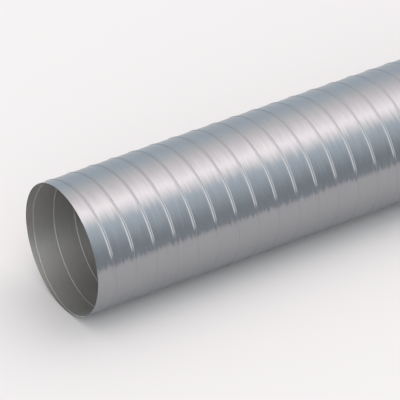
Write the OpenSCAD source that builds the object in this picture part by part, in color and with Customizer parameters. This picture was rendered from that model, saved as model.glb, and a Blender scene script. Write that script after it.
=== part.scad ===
// Flexible aluminium duct: one strip wound on a helix, each turn folded into the last by a lock seam

/* [Duct] */
// Bore, which a spigot of the same size goes into
bore_d = 150; // [100:1:200]
// Length of the piece, cut square at both ends
duct_length = 1000; // [250:50:1200]
// How far a spigot seats in each end
spigot_depth = 60; // [30:5:120]

/* [Strip] */
// Travel of the strip along the duct in one turn
seam_pitch = 26; // [21:0.5:40]
// Wall at the leading edge of a band, beside the seam before it
wall_t = 0.9; // [0.7:0.1:2]
// How far a band flares from its leading edge to its trailing edge
band_flare = 0.3; // [0:0.1:1.5]

/* [Lock seam] */
// Width of the folded seam
seam_w = 2.6; // [1.5:0.1:5]
// Height of the folded seam above the leading edge of a band
seam_h = 0.7; // [0.4:0.1:2]
// Length of the slope on each flank of the seam
seam_flank = 0.4; // [0.2:0.1:0.7]
// Angle from straight down at which the seam runs out at the open end
seam_angle = -20; // [-180:5:180]

/* [Winding] */
// Flat sides in one turn of the strip
turn_sides = 32; // [28:4:36]

/* [Hidden] */
aluminium = "#b4bac0";
bore_r = bore_d / 2;
band_r = bore_r + wall_t;
crest_r = band_r + seam_h;
// The duct rests on one flat side of the seam's crest
rest_h = crest_r * cos(180 / turn_sides);
round_sides = 180;
over = 1;
// How far the flat sides inside the duct lie outside the round bore at its ends
side_gap = 0.05;

// Profile of one band and its seam: distance along the duct from the band's leading edge, and radius
PROFILE = [
    [0, band_r],
    [seam_pitch - seam_w, band_r + band_flare],
    [seam_pitch - seam_w + seam_flank, crest_r],
    [seam_pitch - seam_flank, crest_r],
];
rows = len(PROFILE);
// The skin starts about two turns early, so that its closed ends lie past both cuts
start_z = seam_w / 2 - seam_pitch * (2 + seam_angle / 360);
steps = ceil(turn_sides * (duct_length - start_z + seam_flank) / seam_pitch);

// Turns of the helix up to a corner; the first corner is half a side from straight down
function turns_at(step) = (step + 0.5) / turn_sides;

// Point of the skin on one row of the profile, after a number of steps round the helix
function skin_point(step, row) =
    let (angle = 360 * turns_at(step))
    [
        PROFILE[row][1] * cos(angle),
        PROFILE[row][1] * sin(angle),
        start_z + seam_pitch * turns_at(step) + PROFILE[row][0]
    ];

// Place of that point in the list of all points
function skin_index(step, row) = step * rows + row;

// Two triangles between four corners, given anticlockwise as seen from inside the duct
function quad(a, b, c, d) = [[a, b, c], [a, c, d]];

// Outer skin as a closed solid: a true helix, with a point past each cut to close it
module wound_skin() {
    skin = [for (step = [0:steps], row = [0:rows - 1]) skin_point(step, row)];
    low_tip = len(skin);
    high_tip = low_tip + 1;
    tips = [
        [0, 0, start_z - seam_pitch],
        [0, 0, start_z + seam_pitch * (steps / turn_sides + 2)]
    ];

    // The band and the seam, along the whole strip
    strip = [
        for (step = [0:steps - 1], row = [0:rows - 2])
            each quad(skin_index(step, row), skin_index(step, row + 1),
                      skin_index(step + 1, row + 1), skin_index(step + 1, row))
    ];
    // The seam's last flank, down to the leading edge of the next turn
    last_flank = [
        for (step = [0:steps - turn_sides - 1])
            each quad(skin_index(step, rows - 1), skin_index(step + turn_sides, 0),
                      skin_index(step + turn_sides + 1, 0), skin_index(step + 1, rows - 1))
    ];
    low_rim = concat(
        [for (row = [0:rows - 1]) skin_index(0, row)],
        [for (step = [turn_sides:-1:1]) skin_index(step, 0)]
    );
    high_rim = concat(
        [for (row = [rows - 1:-1:0]) skin_index(steps, row)],
        [for (step = [steps - turn_sides:steps - 1]) skin_index(step, rows - 1)]
    );
    caps = [
        for (i = [0:len(low_rim) - 1]) [low_rim[(i + 1) % len(low_rim)], low_rim[i], low_tip],
        for (i = [0:len(high_rim) - 1]) [high_rim[(i + 1) % len(high_rim)], high_rim[i], high_tip]
    ];
    polyhedron(points = concat(skin, tips), faces = concat(strip, last_flank, caps), convexity = 10);
}

// The way through: a round bore where a spigot seats, and flat sides like the skin's between them
module passage() {
    corner_r = (bore_r + side_gap) / cos(180 / turn_sides);
    corners = [
        for (i = [0:turn_sides - 1])
            let (angle = 360 * turns_at(i))
            corner_r * [cos(angle), sin(angle)]
    ];
    translate([0, 0, -over])
        cylinder(r = bore_r, h = duct_length + 2 * over, $fn = round_sides);
    translate([0, 0, spigot_depth])
        linear_extrude(height = duct_length - 2 * spigot_depth)
            polygon(corners);
}

// The duct lies along X on the floor, with its open end at -X
module spiral_duct() {
    color(aluminium)
        translate([-duct_length / 2, 0, rest_h])
            rotate([0, 90, 0])
                difference() {
                    intersection() {
                        wound_skin();
                        cylinder(r = crest_r + over, h = duct_length, $fn = round_sides);
                    }
                    passage();
                }
}

spiral_duct();
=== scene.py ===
"""Flexible aluminium duct: one strip wound on a helix, each turn locked to the last along a folded seam"""

import math

import bpy
import numpy as np
from bpy.props import FloatProperty, FloatVectorProperty, IntProperty, PointerProperty
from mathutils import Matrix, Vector


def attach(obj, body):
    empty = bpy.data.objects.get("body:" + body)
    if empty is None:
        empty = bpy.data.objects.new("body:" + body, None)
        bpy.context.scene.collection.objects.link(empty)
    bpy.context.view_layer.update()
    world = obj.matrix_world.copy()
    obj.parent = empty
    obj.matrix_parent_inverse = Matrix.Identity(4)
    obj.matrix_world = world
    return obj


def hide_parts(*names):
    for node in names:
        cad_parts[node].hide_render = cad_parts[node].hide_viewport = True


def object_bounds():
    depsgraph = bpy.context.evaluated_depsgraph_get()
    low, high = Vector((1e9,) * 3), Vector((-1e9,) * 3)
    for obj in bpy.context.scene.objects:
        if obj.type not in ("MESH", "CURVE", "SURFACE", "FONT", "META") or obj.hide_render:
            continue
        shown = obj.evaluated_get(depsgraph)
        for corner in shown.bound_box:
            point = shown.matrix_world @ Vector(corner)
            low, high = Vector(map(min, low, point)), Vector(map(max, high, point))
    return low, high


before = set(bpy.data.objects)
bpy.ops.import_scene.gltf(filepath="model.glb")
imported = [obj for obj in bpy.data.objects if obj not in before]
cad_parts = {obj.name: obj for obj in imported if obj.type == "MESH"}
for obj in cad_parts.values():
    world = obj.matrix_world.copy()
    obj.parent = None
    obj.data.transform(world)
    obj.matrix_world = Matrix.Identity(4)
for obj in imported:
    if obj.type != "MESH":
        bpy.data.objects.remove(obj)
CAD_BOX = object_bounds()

bl_info = {
    "name": "Spiral Duct",
    "version": (1, 0),
    "blender": (4, 5, 0),
    "location": "View3D > Sidebar > Spiral Duct",
    "description": "Winds a flexible aluminium duct from one strip and sets it on a studio floor",
    "category": "Add Mesh",
}

MM = 0.001
LOW, HIGH = CAD_BOX
AXIS_Z = (LOW.z + HIGH.z) / 2
WALL = 0.45 * MM
MERGE_GAP = 0.01 * MM
STRIP_MAP = "Strip"


def linear(hex_colour):
    """An sRGB hex colour as linear red, green and blue"""
    parts = [int(hex_colour[i:i + 2], 16) / 255 for i in (1, 3, 5)]
    return tuple(c / 12.92 if c <= 0.04045 else ((c + 0.055) / 1.055) ** 2.4 for c in parts)


def add_node(tree, kind, inputs=None, **settings):
    """A new node with its settings; an input is a value or the socket that feeds it"""
    node = tree.nodes.new(kind)
    for name, value in settings.items():
        setattr(node, name, value)
    for key, value in (inputs or {}).items():
        socket = node.inputs[key]
        if isinstance(value, bpy.types.NodeSocket):
            tree.links.new(value, socket)
        else:
            socket.default_value = value
    return node


class DuctSizes(bpy.types.PropertyGroup):
    """Sizes of the strip and its seam"""

    pitch: FloatProperty(
        name="Pitch", description="Travel of the strip along the duct in one turn",
        default=26 * MM, unit="LENGTH", precision=4)
    seam_width: FloatProperty(
        name="Seam Width", description="Width of the folded seam",
        default=2.8 * MM, unit="LENGTH", precision=4)
    seam_height: FloatProperty(
        name="Seam Height", description="Height of the seam above the leading edge of a band",
        default=0.8 * MM, unit="LENGTH", precision=4)
    flare: FloatProperty(
        name="Flare", description="How far a band widens from its leading edge to its trailing edge",
        default=0.25 * MM, unit="LENGTH", precision=4)
    groove_depth: FloatProperty(
        name="Groove Depth", description="Depth of the groove that the seam leaves inside the duct",
        default=0.9 * MM, unit="LENGTH", precision=4)
    seam_angle: FloatProperty(
        name="Seam Angle", description="Angle from straight down at which the seam runs out at the open end",
        default=math.radians(-20), unit="ROTATION")
    turn_steps: IntProperty(
        name="Steps per Turn", description="Faces in one turn of the strip",
        default=64, min=16, max=96)


class DuctStudio(bpy.types.PropertyGroup):
    """Camera and floor"""

    heading: FloatProperty(
        name="Heading", description="Direction of view, from +Y towards +X",
        default=math.radians(32.48), unit="ROTATION")
    elevation: FloatProperty(
        name="Elevation", description="How far the camera looks down",
        default=math.radians(33.71), unit="ROTATION")
    distance: FloatProperty(
        name="Distance", description="From the camera to the point that it looks at",
        default=4.371, unit="LENGTH")
    aim: FloatVectorProperty(
        name="Aim", description="Point on the duct's axis in the middle of the picture",
        default=(-0.3228, 0.002, AXIS_Z), subtype="XYZ", unit="LENGTH")
    lens: FloatProperty(
        name="Lens", description="Focal length on a 36 mm sensor, in millimetres",
        default=360)
    floor_size: FloatProperty(
        name="Floor Size", description="Side of the square floor",
        default=12, unit="LENGTH")
    floor_colour: FloatVectorProperty(
        name="Floor Colour", description="Colour of the matt floor",
        default=linear("#DEDEDE"), subtype="COLOR")


def deselect_all():
    """Object mode, with nothing selected"""
    if bpy.context.mode != "OBJECT":
        bpy.ops.object.mode_set(mode="OBJECT")
    bpy.ops.object.select_all(action="DESELECT")


def draw_line(name, points):
    """A line through points given along the duct and below its axis, extruded from one vertex"""
    deselect_all()
    bpy.ops.mesh.primitive_plane_add(size=MM)
    line = bpy.context.active_object
    line.name = name
    corners = [Vector((along, 0, -radius)) for along, radius in points]
    bpy.ops.object.mode_set(mode="EDIT")
    bpy.ops.mesh.select_all(action="SELECT")
    bpy.ops.mesh.merge(type="CENTER")
    bpy.ops.transform.translate(value=corners[0])
    for near, far in zip(corners, corners[1:]):
        bpy.ops.mesh.extrude_region_move(TRANSFORM_OT_translate={"value": far - near})
    bpy.ops.object.mode_set(mode="OBJECT")
    return line


def select_vertices(piece, chosen):
    """Edit mode on the piece, with only the vertices chosen by a test of their place"""
    deselect_all()
    piece.select_set(True)
    bpy.context.view_layer.objects.active = piece
    bpy.ops.object.mode_set(mode="EDIT")
    bpy.ops.mesh.select_mode(type="VERT")
    bpy.ops.mesh.select_all(action="DESELECT")
    bpy.ops.object.mode_set(mode="OBJECT")
    for vertex in piece.data.vertices:
        vertex.select = chosen(vertex.co)
    bpy.ops.object.mode_set(mode="EDIT")


def band_profile(sizes):
    """Rows across one band and its seam: distance from the leading edge, outer and inner height"""
    width, height, flare, groove = sizes.seam_width, sizes.seam_height, sizes.flare, sizes.groove_depth
    foot = sizes.pitch - width
    rows = [
        (0.00, -0.28 * MM, 0),
        (0.35 * MM, -0.20 * MM, 0),
        (0.70 * MM, 0, 0),
        (1.30 * MM, 0.01 * MM, 0),
        (0.30 * foot, 0.30 * flare, 0),
        (0.34 * foot, 0.34 * flare - 0.03 * MM, 0),
        (0.38 * foot, 0.38 * flare, 0),
        (0.75 * foot, 0.75 * flare, 0),
        (foot - 0.5 * MM, flare, 0),
        (foot, flare + 0.02 * MM, 0),
        (foot + 0.22 * width, flare + 0.36 * (height - flare), 0),
        (foot + 0.42 * width, flare + 0.80 * (height - flare), groove),
        (foot + 0.60 * width, height, groove),
        (foot + 0.78 * width, 0.93 * height, groove),
        (foot + 0.92 * width, 0.62 * height, groove),
        (foot + 0.98 * width, 0.10 * height, 0),
    ]
    return [(along, outer, -WALL + inner) for along, outer, inner in rows]


def wind(piece, sizes, turns):
    """Sweep the drawn lines round the axis on a helix"""
    screw = piece.modifiers.new("Helix", "SCREW")
    screw.axis = "X"
    screw.angle = math.tau
    screw.screw_offset = sizes.pitch
    screw.iterations = turns
    screw.steps = screw.render_steps = sizes.turn_steps
    deselect_all()
    piece.select_set(True)
    bpy.context.view_layer.objects.active = piece
    bpy.ops.object.modifier_apply(modifier=screw.name)
    bpy.ops.object.mode_set(mode="EDIT")
    bpy.ops.mesh.select_all(action="SELECT")
    bpy.ops.mesh.remove_doubles(threshold=MERGE_GAP)
    bpy.ops.object.mode_set(mode="OBJECT")


def cut_square(piece, low_x, high_x):
    """Cut both ends square"""
    for place, side in ((low_x, -1), (high_x, 1)):
        select_vertices(piece, lambda co: True)
        bpy.ops.mesh.bisect(
            plane_co=(place, 0, 0), plane_no=(side, 0, 0), clear_outer=True, threshold=0.001 * MM)
    bpy.ops.object.mode_set(mode="OBJECT")


def turn_normals(piece, outwards):
    """Turn every face away from the axis, or towards it"""
    bpy.ops.object.mode_set(mode="OBJECT")
    select_vertices(piece, lambda co: True)
    bpy.ops.mesh.normals_make_consistent(inside=False)
    bpy.ops.object.mode_set(mode="OBJECT")
    face = piece.data.polygons[len(piece.data.polygons) // 2]
    points_out = face.normal.dot(Vector((0, face.center.y, face.center.z))) > 0
    if points_out != outwards:
        select_vertices(piece, lambda co: True)
        bpy.ops.mesh.flip_normals()
        bpy.ops.object.mode_set(mode="OBJECT")


def lay_strip_uv(piece, sizes, start_x):
    """UV map in metres: U runs along the strip, and V across it from its leading edge"""
    mesh = piece.data
    count = len(mesh.loops)
    corner = np.zeros(count, np.int64)
    mesh.loops.foreach_get("vertex_index", corner)
    place = np.zeros(len(mesh.vertices) * 3)
    mesh.vertices.foreach_get("co", place)
    place = place.reshape(-1, 3)
    face_of = np.repeat(np.arange(len(mesh.polygons)), [p.loop_total for p in mesh.polygons])
    centre = np.array([p.center for p in mesh.polygons])
    middle_turn = np.arctan2(centre[:, 1], AXIS_Z - centre[:, 2]) / math.tau
    whole_turns = np.floor((centre[:, 0] - start_x) / sizes.pitch - middle_turn)
    at = place[corner]
    turn = np.arctan2(at[:, 1], AXIS_Z - at[:, 2]) / math.tau
    turn += np.round(middle_turn[face_of] - turn)
    turns = turn + whole_turns[face_of]
    across = at[:, 0] - start_x - sizes.pitch * turns
    radius = HIGH.z - AXIS_Z
    along = turns * math.tau * radius
    layer = mesh.uv_layers.new(name=STRIP_MAP)
    layer.data.foreach_set("uv", np.stack([along, across], 1).astype(np.float32).ravel())


class DUCT_OT_wind_strip(bpy.types.Operator):
    """Wind the strip on its helix, with its folded seam, and cut both ends square"""

    bl_idname = "duct.wind_strip"
    bl_label = "Wind the Strip"

    def execute(self, context):
        sizes = context.scene.duct_sizes
        crest = AXIS_Z - LOW.z - 0.02 * MM
        band = crest - sizes.seam_height
        start_x = LOW.x + sizes.seam_width / 2 - sizes.pitch * (2 + sizes.seam_angle / math.tau)
        rows = band_profile(sizes)
        rows.append((sizes.pitch, rows[0][1], rows[0][2]))
        turns = math.ceil((HIGH.x - start_x) / sizes.pitch) + 1
        skins = []
        for name, column in (("outer_skin", 1), ("inner_skin", 2)):
            points = [(start_x + row[0], band + row[column]) for row in rows]
            skin = draw_line(name, points)
            wind(skin, sizes, turns)
            cut_square(skin, LOW.x, HIGH.x)
            turn_normals(skin, outwards=name == "outer_skin")
            skins.append(skin)
        deselect_all()
        for skin in skins:
            skin.select_set(True)
        context.view_layer.objects.active = skins[0]
        bpy.ops.object.join()
        strip = skins[0]
        strip.name = strip.data.name = "duct_strip"
        for end in (LOW.x, HIGH.x):
            select_vertices(strip, lambda co: abs(co.x - end) < MERGE_GAP)
            bpy.ops.mesh.bridge_edge_loops()
            bpy.ops.object.mode_set(mode="OBJECT")
        deselect_all()
        strip.select_set(True)
        bpy.ops.transform.translate(value=(0, 0, AXIS_Z))
        bpy.ops.object.transform_apply(location=True, rotation=True, scale=True)
        lay_strip_uv(strip, sizes, start_x)
        bpy.ops.object.shade_smooth_by_angle(angle=math.radians(38))
        strip.data.materials.append(
            rolled_aluminium("bright_rolled_aluminium", ("#9A9C9F", "#A4A6A9"), 0.25, 0.7))
        # The inner faces take a rougher copy of the aluminium in lighter shades: the roughness is the dull
        # side of the foil, and the lighter shades are painted light, standing in for the light scattered
        # inside the duct
        strip.data.materials.append(
            rolled_aluminium("matt_aluminium_with_painted_light", ("#C4C4C2", "#D2D2D0"), 0.45, 0.6))
        # Faces turned towards the axis take the lighter copy, which paints light onto the inside of the duct;
        # the cut ends keep the outer shades
        for face in strip.data.polygons:
            arm = Vector((0, face.center.y, face.center.z - AXIS_Z))
            face.material_index = 1 if face.normal.dot(arm) < 0 and abs(face.normal.x) < 0.99 else 0
        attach(strip, "root")
        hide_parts("spiral_duct")
        return {"FINISHED"}


def rolled_aluminium(name, shades, roughness, spread):
    """Cold-rolled aluminium strip, mill finish: rolling lines along the strip spread reflections across it"""
    material = bpy.data.materials.new(name)
    material.use_nodes = True
    tree = material.node_tree
    shader = tree.nodes["Principled BSDF"]
    shader.inputs["Metallic"].default_value = 1
    shader.inputs["Roughness"].default_value = roughness
    shader.inputs["Anisotropic"].default_value = spread
    shader.inputs["Anisotropic Rotation"].default_value = 0.25
    uv = add_node(tree, "ShaderNodeUVMap", uv_map=STRIP_MAP)
    tangent = add_node(tree, "ShaderNodeTangent", direction_type="UV_MAP", uv_map=STRIP_MAP)
    tree.links.new(tangent.outputs[0], shader.inputs["Tangent"])

    def noise(along, across, detail):
        place = add_node(
            tree, "ShaderNodeMapping", {"Vector": uv.outputs[0], "Scale": (1 / along, 1 / across, 1)})
        return add_node(
            tree, "ShaderNodeTexNoise", {"Vector": place.outputs[0], "Scale": 1.0, "Detail": detail})

    fine = noise(60 * MM, 1.2 * MM, 2)
    colour = add_node(tree, "ShaderNodeMix", {"Factor": fine.outputs["Fac"]}, data_type="RGBA")
    colour.inputs[6].default_value = (*linear(shades[0]), 1)
    colour.inputs[7].default_value = (*linear(shades[1]), 1)
    tree.links.new(colour.outputs[2], shader.inputs["Base Color"])
    # The foil lies in shallow waves, which lean its reflections to and fro along the strip
    lean = 0.022
    wave = noise(28 * MM, 3.5 * MM, 3)
    tilt = add_node(
        tree, "ShaderNodeMapRange",
        {"Value": wave.outputs["Fac"], "From Min": 0.25, "From Max": 0.75,
         "To Min": 0.5 - lean, "To Max": 0.5 + lean},
        clamp=False)
    facing = add_node(tree, "ShaderNodeCombineColor", {0: tilt.outputs[0], 1: 0.5, 2: 1.0})
    normal = add_node(tree, "ShaderNodeNormalMap", {"Color": facing.outputs[0]}, uv_map=STRIP_MAP)
    tree.links.new(normal.outputs[0], shader.inputs["Normal"])
    return material


def studio_world():
    """A soft tent of light: bright overhead, dark towards the camera's right, pale behind"""
    world = bpy.data.worlds.new("studio")
    bpy.context.scene.world = world
    world.use_nodes = True
    tree = world.node_tree
    background = tree.nodes["Background"]
    towards = add_node(tree, "ShaderNodeTexCoord")
    split = add_node(tree, "ShaderNodeSeparateXYZ", {"Vector": towards.outputs["Generated"]})
    lean = add_node(
        tree, "ShaderNodeMath", {0: split.outputs["Y"], 1: split.outputs["Z"]}, operation="ARCTAN2")
    share = add_node(
        tree, "ShaderNodeMapRange",
        {"Value": lean.outputs[0], "From Min": -math.pi / 2, "From Max": math.pi / 2})
    level = 2.6

    def ramp(stops):
        node = add_node(tree, "ShaderNodeValToRGB", {"Fac": share.outputs[0]})
        points = node.color_ramp.elements
        points.remove(points[-1])
        for number, (angle, value, tint) in enumerate(stops):
            place = angle / 180 + 0.5
            point = points[0] if number == 0 else points.new(place)
            point.position = place
            point.color = (*(value / level * t for t in tint), 1)
        return node.outputs[0]

    cool, warm, plain = (0.9, 1.0, 1.1), (1.08, 0.99, 0.98), (1, 1, 1)
    middle = [
        (-90, 0.42, cool), (-76, 0.50, cool), (-62, 0.72, cool), (-48, 0.95, cool),
        (-36, 1.1, cool), (-28, 1.5, plain),
        (-18, 2.05, warm), (-8, 2.5, warm), (2, 2.1, warm), (22, 1.5, warm), (41, 1.15, plain),
        (62, 0.92, cool), (90, 0.82, cool),
    ]
    left = [
        (-90, 1.9, plain), (-45, 1.9, plain), (0, 1.2, warm), (40, 0.6, plain), (62, 0.35, cool),
        (90, 0.35, cool),
    ]
    right = [(-90, 0.3, cool), (-40, 0.5, cool), (0, 1.0, warm), (45, 1.1, plain), (90, 1.3, cool)]
    towards_left = add_node(
        tree, "ShaderNodeMapRange",
        {"Value": split.outputs["X"], "From Min": 0.25, "From Max": -0.15}, interpolation_type="SMOOTHSTEP")
    towards_right = add_node(
        tree, "ShaderNodeMapRange",
        {"Value": split.outputs["X"], "From Min": 0.55, "From Max": 0.75}, interpolation_type="SMOOTHSTEP")
    one = add_node(tree, "ShaderNodeMix", {"Factor": towards_left.outputs[0]}, data_type="RGBA")
    tree.links.new(ramp(middle), one.inputs[6])
    tree.links.new(ramp(left), one.inputs[7])
    two = add_node(tree, "ShaderNodeMix", {"Factor": towards_right.outputs[0]}, data_type="RGBA")
    tree.links.new(one.outputs[2], two.inputs[6])
    tree.links.new(ramp(right), two.inputs[7])
    tree.links.new(two.outputs[2], background.inputs["Color"])
    background.inputs["Strength"].default_value = level


def reflection_card(name, place, height, colour):
    """A low grey card along the duct that only reflections see, where a table would end"""
    deselect_all()
    bpy.ops.mesh.primitive_plane_add(size=1, location=(0, place, height / 2), rotation=(math.pi / 2, 0, 0))
    card = bpy.context.active_object
    card.name = name
    card.scale = (6, height, 1)
    bpy.ops.object.transform_apply(location=True, rotation=True, scale=True)
    material = bpy.data.materials.new(name)
    material.use_nodes = True
    tree = material.node_tree
    glow = add_node(tree, "ShaderNodeEmission", {"Color": (*linear(colour), 1), "Strength": 1.0})
    tree.links.new(glow.outputs[0], tree.nodes["Material Output"].inputs["Surface"])
    card.data.materials.append(material)
    card.visible_camera = card.visible_diffuse = card.visible_shadow = False
    card.visible_transmission = False


class DUCT_OT_set_stage(bpy.types.Operator):
    """Lay the floor, hang the light and place the camera"""

    bl_idname = "duct.set_stage"
    bl_label = "Set the Stage"

    def execute(self, context):
        studio = context.scene.duct_studio
        deselect_all()
        bpy.ops.mesh.primitive_plane_add(size=studio.floor_size)
        floor = context.active_object
        floor.name = "floor"
        paper = bpy.data.materials.new("matt_paper")
        paper.use_nodes = True
        shader = paper.node_tree.nodes["Principled BSDF"]
        shader.inputs["Base Color"].default_value = (*studio.floor_colour, 1)
        shader.inputs["Roughness"].default_value = 1
        shader.inputs["Specular IOR Level"].default_value = 0
        floor.data.materials.append(paper)
        studio_world()
        reflection_card("front_card", -0.42, 0.10, "#B2B8BE")
        reflection_card("rear_card", 0.28, 0.14, "#E2E6EA")
        look = Vector((
            math.sin(studio.heading) * math.cos(studio.elevation),
            math.cos(studio.heading) * math.cos(studio.elevation),
            -math.sin(studio.elevation),
        ))
        bpy.ops.object.camera_add(location=Vector(studio.aim) - look * studio.distance)
        camera = context.active_object
        camera.name = "camera"
        camera.rotation_euler = look.to_track_quat("-Z", "Y").to_euler()
        camera.data.lens = studio.lens
        camera.data.sensor_width = 36
        camera.data.clip_end = 100
        context.scene.camera = camera
        context.scene.view_settings.view_transform = "Standard"
        return {"FINISHED"}


class DUCT_PT_panel(bpy.types.Panel):
    """Sizes and steps of the duct, and the camera and floor with the floor's colour"""

    bl_idname = "DUCT_PT_panel"
    bl_label = "Spiral Duct"
    bl_space_type = "VIEW_3D"
    bl_region_type = "UI"
    bl_category = "Spiral Duct"

    def draw(self, context):
        for group, operators in (
            (context.scene.duct_sizes, (DUCT_OT_wind_strip,)),
            (context.scene.duct_studio, (DUCT_OT_set_stage,)),
        ):
            box = self.layout.box()
            for name in group.__annotations__:
                box.prop(group, name)
            for operator in operators:
                box.operator(operator.bl_idname)


CLASSES = (DuctSizes, DuctStudio, DUCT_OT_wind_strip, DUCT_OT_set_stage, DUCT_PT_panel)


def register():
    for item in CLASSES:
        bpy.utils.register_class(item)
    bpy.types.Scene.duct_sizes = PointerProperty(type=DuctSizes)
    bpy.types.Scene.duct_studio = PointerProperty(type=DuctStudio)


def unregister():
    del bpy.types.Scene.duct_studio
    del bpy.types.Scene.duct_sizes
    for item in reversed(CLASSES):
        bpy.utils.unregister_class(item)


def main():
    register()
    bpy.ops.duct.wind_strip()
    bpy.ops.duct.set_stage()


if __name__ == "__main__":
    main()
